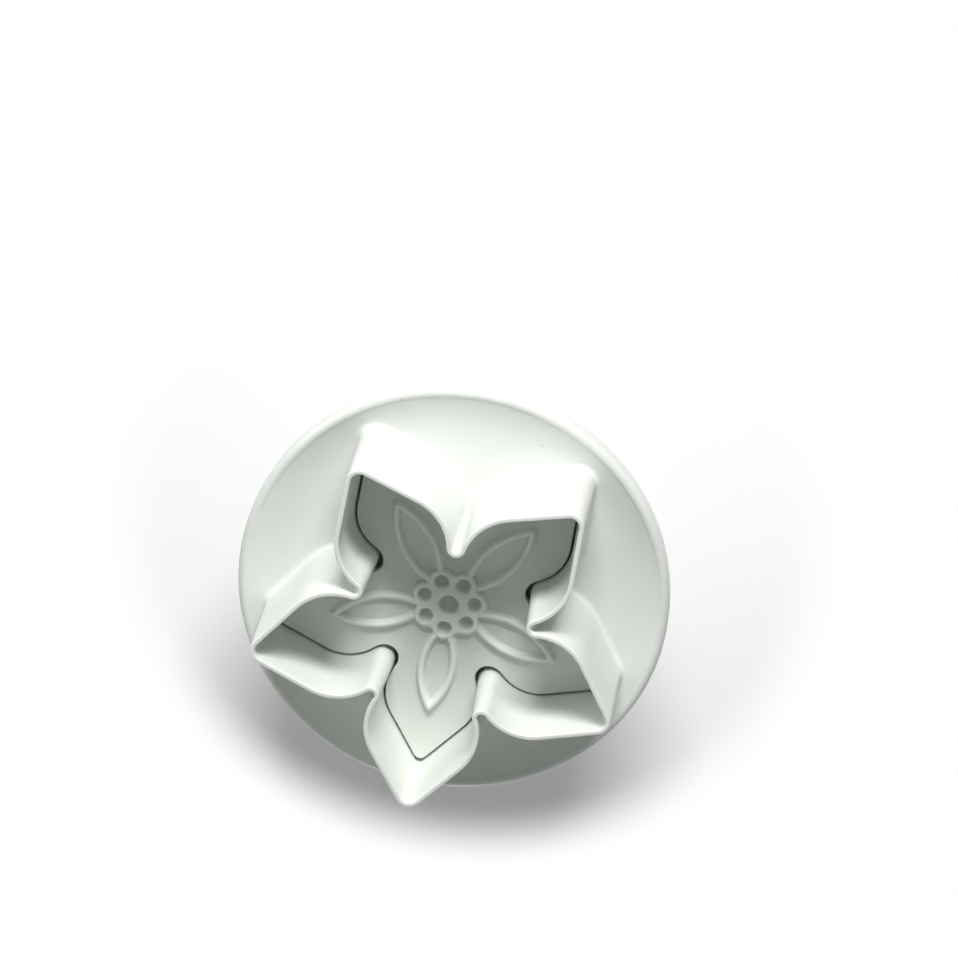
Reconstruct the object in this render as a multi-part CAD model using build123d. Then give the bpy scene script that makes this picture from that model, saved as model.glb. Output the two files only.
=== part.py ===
from build123d import *
import os
from math import atan2, cos, degrees, pi, radians, sin, sqrt

# Flower mouth, taken on the inner face of the wall at the cutting edge.
PETALS = 5
NOTCH_RADIUS = 13.8
NOTCH_NOSE = 1.5
TIP_RADIUS = 29.6
TIP_ROUND = 1.5
TIP_HALF_ANGLE = 37.0
FLANK_RADIUS = 8.4

# Cutting wall, thin at the edge and drafted on both faces down to the flange.
WALL_HEIGHT = 18.8
EDGE_WALL = 0.75
INNER_DRAFT = 0.75
FOOT_WALL = 1.9

# Round flange with a dished face, a rolled lip and a short skirt behind.
FLANGE_RADIUS = 35.0
FLANGE_THICKNESS = 1.5
DISH_START = 27.5
DISH_RISE = 0.9
LIP_WIDTH = 1.6
LIP_ROUND = 1.0
SKIRT_DEPTH = 2.6
SKIRT_WALL = 1.4
SKIRT_ROUND = 0.4

# Plunger stem, stiff rod with a flat head glued under the plate.
STEM_RADIUS = 2.5
STEM_CHAMFER = 0.4
HEAD_RADIUS = 5.0
HEAD_THICKNESS = 1.1
PIN_RADIUS = 1.5
PIN_LENGTH = 0.8
RUNNING_CLEARANCE = 0.06
GLUE_CLEARANCE = 0.02
SEAT_GAP = 0.1

# Push knob, flat topped so that the cutter stands on it.
KNOB_RADIUS = 8.2
KNOB_THICKNESS = 3.2
KNOB_TOP_ROUND = 1.1
KNOB_UNDER_ROUND = 0.5
KNOB_SKIN = 1.3
THUMB_DISH_RADIUS = 5.6
THUMB_DISH_DEPTH = 0.5
HUB_RADIUS = 4.3
HUB_LENGTH = 1.5

# Barrel behind the flange, which holds the spring and guides the stem.
TRAVEL = 13.0
STOP_GAP = 0.3
POCKET_RADIUS = 4.65
POCKET_DEPTH = 8.0
BARREL_WALL = 1.7
BARREL_ROUND = 0.5
BARREL_ROOT = 1.2
FLOOR_THICKNESS = 2.0
FLOOR_RING_RADIUS = 5.6

# Return spring of steel wire.
SPRING_RADIUS = 3.6
WIRE = 0.8
SPRING_TURNS = 7
END_BEND = 0.9

# Embossing plate and its raised veins.
PLATE_TOP = 5.0
PLATE_THICKNESS = 1.6
PLATE_GAP = 0.3
PLATE_TIP_ROUND = 1.2
NOTCH_RELIEF = 0.6
VEIN_HEIGHT = 1.0
VEIN_WIDTH = 1.25
OVAL_INNER_END = 4.4
OVAL_OUTER_END = 19.6
OVAL_HALF_WIDTH = 3.2
OVAL_TIP_SHARE = 1.75
CELLS = 7
CELL_CIRCLE = 4.05
CELL_HOLE = 0.92
CELL_RIM = 2.05
CENTRE_HOLE = 1.45
RIB_WIDTH = 1.2
RIB_DEPTH = 1.2
RIB_END = 21.0

# One overrun serves every cut, and the gap check samples each arc this often.
OVERRUN = 0.5
SAMPLES_PER_ARC = 6

# Levels along the axis, counted up from the flat top of the knob.
spring_seat = KNOB_THICKNESS + HUB_LENGTH
barrel_end = KNOB_THICKNESS + TRAVEL + STOP_GAP
pocket_floor = barrel_end + POCKET_DEPTH
flange_front = pocket_floor + FLOOR_THICKNESS
flange_back = flange_front - FLANGE_THICKNESS
plate_top = flange_front + PLATE_TOP
plate_under = plate_top - PLATE_THICKNESS
head_under = plate_under - HEAD_THICKNESS
ring_top = head_under - SEAT_GAP
cutting_edge = flange_front + WALL_HEIGHT
barrel_radius = POCKET_RADIUS + BARREL_WALL
petal_angle = 2 * pi / PETALS


def polar(radius, angle):
    return Vector(radius * cos(angle), radius * sin(angle))


# The flank line leaves the tip at the half angle, and its normal points out of the petal.
half_angle = radians(TIP_HALF_ANGLE)
flank_normal = Vector(sin(half_angle), cos(half_angle))
flank_direction = Vector(-cos(half_angle), sin(half_angle))
tip_apex = Vector(TIP_RADIUS + TIP_ROUND * (1 / sin(half_angle) - 1), 0)
nose_centre = polar(NOTCH_RADIUS + NOTCH_NOSE, petal_angle / 2)


def flank_centre():
    # The flank arc touches the tip's straight line and the round nose of the notch.
    gap = tip_apex - flank_normal * FLANK_RADIUS - nose_centre
    reach = FLANK_RADIUS + NOTCH_NOSE
    along = gap.dot(flank_direction)
    run = -along - sqrt(along**2 - gap.dot(gap) + reach**2)
    return tip_apex - flank_normal * FLANK_RADIUS + flank_direction * run


def mirrored(point):
    return Vector(point.X, -point.Y)


def flower(grow, height, tip_round=TIP_ROUND):
    # The five-petal outline moved outwards by grow, as a face at a height.
    middle = flank_centre()
    to_nose = (nose_centre - middle).normalized()
    nose_end = nose_centre - to_nose * (NOTCH_NOSE - grow)
    shoulder = middle + flank_normal * (FLANK_RADIUS + grow)
    flank_mid = middle + (to_nose + flank_normal).normalized() * (FLANK_RADIUS + grow)
    tip_centre = tip_apex - Vector(tip_round / sin(half_angle), 0)
    tip_start = tip_centre + flank_normal * (tip_round + grow)
    tip_mid = tip_centre + Vector(tip_round + grow, 0)
    nose_mid = polar(NOTCH_RADIUS + grow, petal_angle / 2)
    next_nose = mirrored(nose_end).rotate(Axis.Z, degrees(petal_angle))
    edges = []
    for petal in range(PETALS):
        petal_edges = [
            ThreePointArc(mirrored(nose_end), mirrored(flank_mid), mirrored(shoulder)),
            Line(mirrored(shoulder), mirrored(tip_start)),
            ThreePointArc(mirrored(tip_start), tip_mid, tip_start),
            Line(tip_start, shoulder),
            ThreePointArc(shoulder, flank_mid, nose_end),
            ThreePointArc(nose_end, nose_mid, next_nose),
        ]
        turn = Rot(0, 0, 90 + degrees(petal * petal_angle))
        edges += [turn * edge for edge in petal_edges]
    return Pos(0, 0, height) * make_face(edges)


def inner_grow(height):
    # How far the drafted inner face stands inside its outline at the cutting edge.
    return -INNER_DRAFT * (cutting_edge - height) / WALL_HEIGHT


def at(radius, height):
    return Vector(radius, 0, height)


def flange_section():
    # Half section of floor, barrel, flange and rolled lip, without the ring on the floor.
    bore = STEM_RADIUS + RUNNING_CLEARANCE
    lip_start = at(FLANGE_RADIUS - LIP_WIDTH, flange_front + DISH_RISE)
    lip_drop = sqrt(2 * LIP_WIDTH * LIP_ROUND - LIP_WIDTH**2)
    lip_end = at(FLANGE_RADIUS, flange_front + DISH_RISE - lip_drop)
    dish = TangentArc(at(DISH_START, flange_front), lip_start, tangent=(1, 0, 0))
    lip = TangentArc(lip_end, lip_start, tangent=(0, 0, 1))
    skirt_end = flange_front - SKIRT_DEPTH
    skirt_inner = FLANGE_RADIUS - SKIRT_WALL
    corners = [
        (at(FLANGE_RADIUS, skirt_end), SKIRT_ROUND),
        (at(skirt_inner, skirt_end), SKIRT_ROUND),
        (at(skirt_inner, flange_back), SKIRT_ROUND),
        (at(barrel_radius, flange_back), BARREL_ROOT),
        (at(barrel_radius, barrel_end), BARREL_ROUND),
        (at(POCKET_RADIUS, barrel_end), BARREL_ROUND),
    ]
    points = [point for point, rounding in corners]
    rounds = [rounding for point, rounding in corners]
    back = FilletPolyline(lip_end, *points, at(POCKET_RADIUS, pocket_floor), radius=rounds)
    core = Polyline(
        at(POCKET_RADIUS, pocket_floor),
        at(bore, pocket_floor),
        at(bore, flange_front),
        at(DISH_START, flange_front),
    )
    return [*core.edges(), dish, lip, *back.edges()]


def floor_ring():
    # The raised ring on the mouth's floor, which guides the stem and stops the plunger.
    ring = Circle(FLOOR_RING_RADIUS) - Circle(STEM_RADIUS + RUNNING_CLEARANCE)
    return Pos(0, 0, flange_front) * extrude(ring, ring_top - flange_front)


def cutter_body():
    # Flange with its barrel, and the hollow flower wall standing on it.
    top = cutting_edge + OVERRUN
    outer_foot = FOOT_WALL - INNER_DRAFT
    wall = loft([flower(outer_foot, flange_front), flower(EDGE_WALL, cutting_edge)], ruled=True)
    inner_foot = flower(inner_grow(flange_front), flange_front)
    mouth = loft([inner_foot, flower(inner_grow(top), top)], ruled=True)
    flange = revolve(make_face(flange_section()), Axis.Z, 360)
    return flange + wall - mouth + floor_ring()


def lens(inset):
    # A pointed oval along one petal, drawn in from its outer outline by inset.
    start = OVAL_INNER_END + OVAL_TIP_SHARE * inset
    end = OVAL_OUTER_END - OVAL_TIP_SHARE * inset
    middle = (OVAL_INNER_END + OVAL_OUTER_END) / 2
    half = OVAL_HALF_WIDTH - inset
    left = ThreePointArc((start, 0), (middle, half), (end, 0))
    right = ThreePointArc((end, 0), (middle, -half), (start, 0))
    return make_face([left, right])


def veins():
    # Five pointed ovals round a scalloped cluster of round cells.
    cluster = Circle(CELL_CIRCLE)
    for cell in range(CELLS):
        cluster += Pos(*polar(CELL_CIRCLE, 2 * pi * cell / CELLS)) * Circle(CELL_RIM)
    holes = Circle(CENTRE_HOLE)
    for cell in range(CELLS):
        holes += Pos(*polar(CELL_CIRCLE, 2 * pi * cell / CELLS)) * Circle(CELL_HOLE)
    pattern = cluster - holes
    oval = lens(0) - lens(VEIN_WIDTH) - cluster
    for petal in range(PETALS):
        pattern += Rot(0, 0, degrees(petal * petal_angle)) * oval
    return Pos(0, 0, plate_top) * Rot(0, 0, 90) * extrude(pattern, VEIN_HEIGHT)


def plate_grow():
    return inner_grow(plate_under) - PLATE_GAP


def embossing_plate():
    # Flower-shaped plate that fills the mouth, with its veins in front and ribs behind.
    grow = plate_grow()
    outline = flower(grow, plate_under, tip_round=PLATE_TIP_ROUND - grow)
    plate = extrude(outline, PLATE_THICKNESS, dir=(0, 0, 1))
    relief = Circle(NOTCH_NOSE - grow + NOTCH_RELIEF)
    for petal in range(PETALS):
        angle = pi / 2 + (petal + 1 / 2) * petal_angle
        centre = polar(NOTCH_RADIUS + NOTCH_NOSE, angle)
        plate -= Pos(centre.X, centre.Y, plate_under - OVERRUN) * extrude(relief, PLATE_THICKNESS + 2 * OVERRUN)
    start = HEAD_RADIUS + RIB_WIDTH
    rib = Box(RIB_END - start, RIB_WIDTH, RIB_DEPTH, align=(Align.MIN, Align.CENTER, Align.MAX))
    for petal in range(PETALS):
        turn = Rot(0, 0, 90 + degrees(petal * petal_angle))
        plate += turn * Pos(start, 0, plate_under) * rib
    socket = Circle(PIN_RADIUS + GLUE_CLEARANCE)
    plate -= Pos(0, 0, plate_under) * extrude(socket, PIN_LENGTH + GLUE_CLEARANCE)
    return plate + veins()


def plunger_stem():
    # Round rod, flat head and the short pin that centres the plate.
    rod = Pos(0, 0, KNOB_SKIN) * extrude(Circle(STEM_RADIUS), head_under - KNOB_SKIN)
    rod = chamfer(rod.edges().sort_by(Axis.Z)[0], STEM_CHAMFER)
    head = Pos(0, 0, head_under) * extrude(Circle(HEAD_RADIUS), HEAD_THICKNESS)
    pin = Pos(0, 0, plate_under) * extrude(Circle(PIN_RADIUS), PIN_LENGTH)
    return rod + head + pin


def push_knob():
    # Flat disc with rounded rims, a thumb dish on top and a hub that takes the stem.
    disc = extrude(Circle(KNOB_RADIUS), KNOB_THICKNESS)
    rims = disc.edges().sort_by(Axis.Z)
    disc = fillet(rims[0], KNOB_TOP_ROUND)
    disc = fillet(disc.edges().sort_by(Axis.Z)[-1], KNOB_UNDER_ROUND)
    hub = Pos(0, 0, KNOB_THICKNESS) * extrude(Circle(HUB_RADIUS), HUB_LENGTH)
    ball = (THUMB_DISH_RADIUS**2 + THUMB_DISH_DEPTH**2) / (2 * THUMB_DISH_DEPTH)
    dish = Pos(0, 0, THUMB_DISH_DEPTH - ball) * Sphere(ball)
    socket = Circle(STEM_RADIUS + GLUE_CLEARANCE)
    bore = Pos(0, 0, KNOB_SKIN) * extrude(socket, spring_seat + OVERRUN - KNOB_SKIN)
    return disc + hub - dish - bore


def biarc(start, start_way, end, end_way):
    # Two arcs that leave one point and meet the next with the given directions.
    chord = end - start
    ways = start_way + end_way
    a = 4 - ways.dot(ways)
    b = 2 * chord.dot(ways)
    c = -chord.dot(chord)
    reach = (-b + sqrt(b**2 - 4 * a * c)) / (2 * a)
    joint = (start + start_way * reach + end - end_way * reach) / 2
    joint_way = (end - end_way * reach) - (start + start_way * reach)
    return [TangentArc(start, joint, tangent=start_way), TangentArc(joint, end, tangent=joint_way)]


def spring_path():
    # Straight wire, a bend, the even turns, a bend and straight wire again.
    low = spring_seat + WIRE + END_BEND
    high = pocket_floor - WIRE - END_BEND
    climb = (high - low) / SPRING_TURNS
    slope = atan2(climb, 2 * pi * SPRING_RADIUS)

    def place(turn):
        angle = 2 * pi * turn
        point = Vector(SPRING_RADIUS * cos(angle), SPRING_RADIUS * sin(angle), low + climb * turn)
        way = Vector(-sin(angle) * cos(slope), cos(angle) * cos(slope), sin(slope))
        return point, way

    first, first_way = place(0)
    last, last_way = place(SPRING_TURNS)
    side = END_BEND * (1 - sin(slope))
    rise = END_BEND * cos(slope)
    bend_start = first - Vector(0, side, rise)
    bend_end = last + Vector(0, side, rise)
    up = Vector(0, 0, 1)
    edges = [Line(at_level(bend_start, spring_seat), bend_start)]
    edges += [TangentArc(bend_start, first, tangent=up)]
    for half in range(2 * SPRING_TURNS):
        here, here_way = place(half / 2)
        there, there_way = place((half + 1) / 2)
        edges += biarc(here, here_way, there, there_way)
    edges += [TangentArc(last, bend_end, tangent=last_way)]
    edges += [Line(bend_end, at_level(bend_end, pocket_floor))]
    return edges


def at_level(point, height):
    return Vector(point.X, point.Y, height)


def least_gap(edges):
    # Least distance between parts of the wire that are not neighbours along it.
    points = []
    for edge in edges:
        points += [edge @ (step / SAMPLES_PER_ARC) for step in range(SAMPLES_PER_ARC)]
    least = FLANGE_RADIUS
    skip = 2 * SAMPLES_PER_ARC
    for index, point in enumerate(points):
        for other in points[index + skip:]:
            least = min(least, (point - other).length)
    return least - WIRE


def return_spring():
    # Coil spring round the stem, from the knob's hub to the floor of the barrel.
    edges = spring_path()
    print("least gap between the spring's turns:", round(least_gap(edges), 2))
    path = Wire(edges)
    start = edges[0] @ 0
    section = Plane(origin=start, z_dir=(0, 0, 1)) * Circle(WIRE / 2)
    return sweep(section, path=path)


os.makedirs("parts", exist_ok=True)
pieces = {
    "cutter_body": cutter_body(),
    "embossing_plate": embossing_plate(),
    "plunger_stem": plunger_stem(),
    "push_knob": push_knob(),
    "return_spring": return_spring(),
}
for name, piece in pieces.items():
    export_step(piece, f"parts/{name}.step")
    print(name, round(piece.volume, 1))
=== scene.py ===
from math import acos, asin, atan2, cos, pi, radians, sin, sqrt, tan

import bmesh
import bpy
from mathutils import Matrix, Quaternion, Vector


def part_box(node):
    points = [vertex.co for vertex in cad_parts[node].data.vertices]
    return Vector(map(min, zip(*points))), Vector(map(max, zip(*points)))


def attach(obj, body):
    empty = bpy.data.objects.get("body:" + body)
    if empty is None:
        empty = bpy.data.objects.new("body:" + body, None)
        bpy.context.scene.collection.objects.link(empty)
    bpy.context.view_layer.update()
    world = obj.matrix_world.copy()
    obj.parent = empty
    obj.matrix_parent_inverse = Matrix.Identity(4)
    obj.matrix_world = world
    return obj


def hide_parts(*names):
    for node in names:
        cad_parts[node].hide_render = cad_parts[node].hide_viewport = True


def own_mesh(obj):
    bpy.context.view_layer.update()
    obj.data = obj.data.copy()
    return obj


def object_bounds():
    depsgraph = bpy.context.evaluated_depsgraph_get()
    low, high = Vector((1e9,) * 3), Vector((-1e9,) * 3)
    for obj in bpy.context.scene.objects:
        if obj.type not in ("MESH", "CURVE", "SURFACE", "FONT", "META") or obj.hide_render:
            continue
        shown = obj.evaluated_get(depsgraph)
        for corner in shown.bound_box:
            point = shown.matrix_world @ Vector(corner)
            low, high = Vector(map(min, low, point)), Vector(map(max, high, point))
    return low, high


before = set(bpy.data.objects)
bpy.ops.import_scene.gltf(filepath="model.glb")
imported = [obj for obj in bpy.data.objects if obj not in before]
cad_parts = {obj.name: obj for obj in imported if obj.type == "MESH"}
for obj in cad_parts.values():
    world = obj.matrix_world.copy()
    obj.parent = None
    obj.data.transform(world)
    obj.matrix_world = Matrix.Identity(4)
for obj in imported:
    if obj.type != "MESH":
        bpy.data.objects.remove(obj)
cad_low, cad_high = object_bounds()
scene = bpy.context.scene
MM = 0.001

# Camera. It stands where the photographer stood, a little off the plunger's axis and
# rolled over, so that the petal on the far side points down the picture.
CAMERA_AIM = Vector((-0.7059, -19.9518, 26.5)) * MM
CAMERA_DISTANCE = 560.5 * MM
CAMERA_AZIMUTH = radians(-5.276)
CAMERA_ELEVATION = radians(67.761)
CAMERA_ROLL = radians(-163.295)
CAMERA_LENS = 132.37
CAMERA_SENSOR = 36.0
CAMERA_NEAR = 10 * MM
CAMERA_FAR = 20.0


def direction_from(azimuth, elevation):
    """Way from the object towards a camera or lamp, azimuth 0 standing on the -Y side."""
    level = cos(elevation)
    return Vector((sin(azimuth) * level, -cos(azimuth) * level, sin(elevation)))


camera_back = direction_from(CAMERA_AZIMUTH, CAMERA_ELEVATION)
camera_turn = (-camera_back).to_track_quat("-Z", "Y") @ Quaternion((0, 0, 1), CAMERA_ROLL)
camera_data = bpy.data.cameras.new("camera")
camera_data.lens = CAMERA_LENS
camera_data.sensor_width = CAMERA_SENSOR
camera_data.clip_start = CAMERA_NEAR
camera_data.clip_end = CAMERA_FAR
camera = bpy.data.objects.new("camera", camera_data)
camera.location = CAMERA_AIM + camera_back * CAMERA_DISTANCE
camera.rotation_mode = "QUATERNION"
camera.rotation_quaternion = camera_turn
scene.collection.objects.link(camera)
scene.camera = camera

# Studio. A low wide softbox rakes across the flower from the top of the picture. Weaker ones
# from its left and its foot open the shadows, and a pale room fills the rest.
LAMP_DISTANCE = 800 * MM
KEY_AZIMUTH = radians(0)
KEY_ELEVATION = radians(28)
KEY_LEVEL = 1.13
KEY_SIZE = (400 * MM, 175 * MM)
SIDE_AZIMUTH = radians(62)
SIDE_ELEVATION = radians(12)
SIDE_LEVEL = 0.22
SIDE_SIZE = (300 * MM, 240 * MM)
FILL_AZIMUTH = radians(180)
FILL_ELEVATION = radians(14)
FILL_LEVEL = 0.18
FILL_SIZE = (300 * MM, 300 * MM)
ROOM_LEVEL = 0.15
ROOM_COLOUR = (0.96, 1.0, 0.97, 1.0)
LAMP_COLOUR = (1.0, 1.0, 0.99)
BACKDROP_WHITE = (1.0, 1.0, 1.0, 1.0)
BACKDROP_LEVEL = 1.0


def softbox(name, azimuth, elevation, level, size):
    """A rectangular lamp that gives a white sheet facing it the brightness level."""
    lamp = bpy.data.lights.new(name, "AREA")
    lamp.shape = "RECTANGLE"
    lamp.size, lamp.size_y = size
    lamp.color = LAMP_COLOUR
    lamp.energy = level * pi**2 * LAMP_DISTANCE**2
    away = direction_from(azimuth, elevation)
    holder = bpy.data.objects.new(name, lamp)
    holder.location = Vector((0, 0, cad_high.z / 2)) + away * LAMP_DISTANCE
    holder.rotation_mode = "QUATERNION"
    holder.rotation_quaternion = (-away).to_track_quat("-Z", "Y")
    scene.collection.objects.link(holder)


softbox("key_softbox", KEY_AZIMUTH, KEY_ELEVATION, KEY_LEVEL, KEY_SIZE)
softbox("side_softbox", SIDE_AZIMUTH, SIDE_ELEVATION, SIDE_LEVEL, SIDE_SIZE)
softbox("fill_softbox", FILL_AZIMUTH, FILL_ELEVATION, FILL_LEVEL, FILL_SIZE)


def add_node(tree, kind, inputs=None, **settings):
    """A new node with its settings, and its inputs set or linked."""
    made = tree.nodes.new(kind)
    for name, value in settings.items():
        setattr(made, name, value)
    for name, value in (inputs or {}).items():
        if isinstance(value, bpy.types.NodeSocket):
            tree.links.new(value, made.inputs[name])
        else:
            made.inputs[name].default_value = value
    return made


def shown_directly(tree):
    """1 where a ray comes from the camera, or by way of a mirror or glass, and 0 elsewhere."""
    path = add_node(tree, "ShaderNodeLightPath")
    mirrored = add_node(
        tree,
        "ShaderNodeMath",
        {0: path.outputs["Is Glossy Ray"], 1: path.outputs["Is Transmission Ray"]},
        operation="MAXIMUM",
    )
    either = add_node(
        tree,
        "ShaderNodeMath",
        {0: path.outputs["Is Camera Ray"], 1: mirrored.outputs[0]},
        operation="MAXIMUM",
    )
    return either.outputs[0]


room = bpy.data.worlds.new("pale_room")
room.use_nodes = True
room_tree = room.node_tree
room_tree.nodes.clear()
room_fill = add_node(
    room_tree, "ShaderNodeBackground", {"Color": ROOM_COLOUR, "Strength": ROOM_LEVEL}
)
room_backdrop = add_node(
    room_tree, "ShaderNodeBackground", {"Color": BACKDROP_WHITE, "Strength": BACKDROP_LEVEL}
)
room_mix = add_node(
    room_tree,
    "ShaderNodeMixShader",
    {0: shown_directly(room_tree), 1: room_fill.outputs[0], 2: room_backdrop.outputs[0]},
)
add_node(room_tree, "ShaderNodeOutputWorld", {"Surface": room_mix.outputs[0]})
scene.world = room
scene.view_settings.view_transform = "Standard"

# Floor. A plain pale sheet under the cutter, which keeps the soft shadow near it and burns
# out to white further away.
FLOOR_REACH = 1.5
FLOOR_PALE = (0.4, 0.4, 0.4, 1.0)
FLOOR_SHOWN = (1.22, 1.23, 1.24, 1.0)
FLOOR_FADE = (51 * MM, 64 * MM)

floor_mesh = bpy.data.meshes.new("floor")
floor_corners = [(-1, -1), (1, -1), (1, 1), (-1, 1)]
floor_mesh.from_pydata(
    [(x * FLOOR_REACH, y * FLOOR_REACH, cad_low.z) for x, y in floor_corners],
    [],
    [range(len(floor_corners))],
)
floor = bpy.data.objects.new("floor", floor_mesh)
scene.collection.objects.link(floor)
floor_material = bpy.data.materials.new("pale_floor")
floor_material.use_nodes = True
floor_tree = floor_material.node_tree
floor_tree.nodes.clear()
floor_pale = add_node(floor_tree, "ShaderNodeBsdfDiffuse", {"Color": FLOOR_PALE})
floor_shown = add_node(floor_tree, "ShaderNodeBsdfDiffuse", {"Color": FLOOR_SHOWN})
floor_place = add_node(floor_tree, "ShaderNodeTexCoord").outputs["Object"]
floor_radius = add_node(
    floor_tree,
    "ShaderNodeVectorMath",
    {0: floor_place, 1: (0, 0, cad_low.z)},
    operation="DISTANCE",
)
floor_far = add_node(
    floor_tree,
    "ShaderNodeMapRange",
    {
        "Value": floor_radius.outputs["Value"],
        "From Min": FLOOR_FADE[0],
        "From Max": FLOOR_FADE[1],
    },
    interpolation_type="SMOOTHSTEP",
)
floor_white = add_node(
    floor_tree, "ShaderNodeEmission", {"Color": BACKDROP_WHITE, "Strength": BACKDROP_LEVEL}
)
floor_seen = add_node(
    floor_tree,
    "ShaderNodeMixShader",
    {0: floor_far.outputs[0], 1: floor_shown.outputs[0], 2: floor_white.outputs[0]},
)
floor_mix = add_node(
    floor_tree,
    "ShaderNodeMixShader",
    {0: shown_directly(floor_tree), 1: floor_pale.outputs[0], 2: floor_seen.outputs[0]},
)
add_node(floor_tree, "ShaderNodeOutputMaterial", {"Surface": floor_mix.outputs[0]})
floor_mesh.materials.append(floor_material)

# Cutter body. One white moulding: the round flange with its rolled lip, the flower wall
# that cuts the paste, and the barrel behind that guides the plunger.
PETALS = 5

# The flower's outline, inside the wall at the cutting edge.
NOTCH_RADIUS = 13.8 * MM
NOTCH_NOSE = 1.5 * MM
LEAST_NOSE = 0.3 * MM
TIP_RADIUS = 29.6 * MM
TIP_ROUND = 1.5 * MM
TIP_HALF_ANGLE = radians(37)
FLANK_RADIUS = 8.4 * MM

# The wall, thin at its edge and thicker at its foot.
WALL_HEIGHT = 18.8 * MM
EDGE_WALL = 0.75 * MM
EDGE_ROUND = 0.2 * MM
INNER_DRAFT = 0.75 * MM
FOOT_WALL = 1.9 * MM
FOOT_ROUND = 0.9 * MM
FOOT_FLARE = 1.1 * MM
INNER_FOOT_ROUND = 0.5 * MM

# The flange, dished up towards its rolled lip, with a skirt turned down behind.
FLANGE_THICKNESS = 1.5 * MM
DISH_START = 27.5 * MM
DISH_RISE = 0.9 * MM
DISH_FADE = 6.0 * MM
LIP_WIDTH = 1.6 * MM
LIP_ROUND = 1.0 * MM
SKIRT_DEPTH = 2.6 * MM
SKIRT_WALL = 1.4 * MM
SKIRT_ROUND = 0.4 * MM

# The barrel, and the ring round the bore in its floor.
BARREL_WALL = 1.7 * MM
BARREL_ROUND = 0.5 * MM
BARREL_ROOT = 1.2 * MM
POCKET_RADIUS = 4.65 * MM
POCKET_DEPTH = 8.0 * MM
RING_RADIUS = 5.6 * MM
RING_HEIGHT = 2.2 * MM
RING_ROUND = 0.3 * MM
BORE_RADIUS = 2.56 * MM

# How closely the skin is laid: the points along a petal's nose, flank, line and tip, the
# points round a corner, the guard point kept beside it, and the rings across each face.
GUARD = 0.12 * MM
BODY_STEPS = (6, 18, 12, 7)
ROUND_STEPS = 4
LIP_STEPS = 10
FLANGE_RINGS = 12
RING_CROWDING = 1.5
FLOOR_RINGS = 3
RELIEF_SHARE = 0.4
MERGE_DISTANCE = 0.002 * MM

body_low, body_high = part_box("cutter_body")
cutting_edge = body_high.z
barrel_end = body_low.z
flange_radius = body_high.x
flange_front = cutting_edge - WALL_HEIGHT
flange_back = flange_front - FLANGE_THICKNESS
pocket_floor = barrel_end + POCKET_DEPTH
barrel_radius = POCKET_RADIUS + BARREL_WALL
lip_start = flange_radius - LIP_WIDTH
outer_foot = FOOT_WALL - INNER_DRAFT
flare_end = outer_foot + FOOT_FLARE
petal_angle = 2 * pi / PETALS

flank_normal = Vector((sin(TIP_HALF_ANGLE), cos(TIP_HALF_ANGLE)))
flank_way = Vector((-cos(TIP_HALF_ANGLE), sin(TIP_HALF_ANGLE)))
notch_way = Vector((cos(petal_angle / 2), sin(petal_angle / 2)))
tip_apex = Vector((TIP_RADIUS + TIP_ROUND * (1 / sin(TIP_HALF_ANGLE) - 1), 0))


def flank_centre():
    """Centre of the flank's arc, which touches the tip's straight line and the notch."""
    offset = tip_apex - flank_normal * FLANK_RADIUS - notch_way * (NOTCH_RADIUS + NOTCH_NOSE)
    along = offset.dot(flank_way)
    reach = FLANK_RADIUS + NOTCH_NOSE
    run = -along - sqrt(along**2 - offset.dot(offset) + reach**2)
    return tip_apex - flank_normal * FLANK_RADIUS + flank_way * run


flank_middle = flank_centre()


def arc(centre, start, end, steps):
    """Points of a short arc about a centre, with its start and without its end."""
    first = start - centre
    last = end - centre
    radius = first.length
    turned = [first.normalized().slerp(last.normalized(), step / steps) for step in range(steps)]
    return [centre + way * radius for way in turned]


def eased(share):
    """A share from 0 to 1 that starts and ends without a kink."""
    return share * share * (3 - 2 * share)


def petal_outline(grow, steps, tip_round=TIP_ROUND, relief=0):
    """One petal from notch to notch, grown outwards, with its notches cut back by relief."""
    nose_steps, flank_steps, line_steps, tip_steps = steps
    flank_radius = FLANK_RADIUS + grow
    nose_radius = max(NOTCH_NOSE - grow, LEAST_NOSE)
    reach = flank_radius + nose_radius
    level = flank_middle.dot(notch_way)
    rest = reach**2 - flank_middle.length_squared + level**2
    nose_middle = notch_way * (level + sqrt(rest))
    bottom = nose_middle - notch_way * nose_radius
    nose_end = flank_middle + (nose_middle - flank_middle).normalized() * flank_radius
    shoulder = flank_middle + flank_normal * flank_radius
    tip_round = max(tip_round, LEAST_NOSE - grow)
    tip_middle = tip_apex - Vector((tip_round / sin(TIP_HALF_ANGLE), 0))
    tip_start = tip_middle + flank_normal * (tip_round + grow)
    tip_end = tip_middle + Vector((tip_round + grow, 0))
    half = arc(nose_middle, bottom, nose_end, nose_steps)
    half += arc(flank_middle, nose_end, shoulder, flank_steps)
    half += [shoulder.lerp(tip_start, step / line_steps) for step in range(line_steps)]
    half += arc(tip_middle, tip_start, tip_end, tip_steps)
    relieved = nose_steps + round(flank_steps * RELIEF_SHARE)
    for index in range(relieved):
        half[index] = half[index] - notch_way * relief * eased(1 - index / relieved)
    other = [Vector((point.x, -point.y)) for point in reversed(half)]
    return half + [tip_end] + other


def on_petal(points, height):
    """The points of one ring, laid along the petal on the +Y side at a height."""
    return [Vector((-point.y, point.x, height)) for point in points]


def on_circle(angles, radius, height):
    """One petal's share of a circle, with a point at each angle."""
    return on_petal([Vector((cos(angle), sin(angle))) * radius for angle in angles], height)


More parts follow.
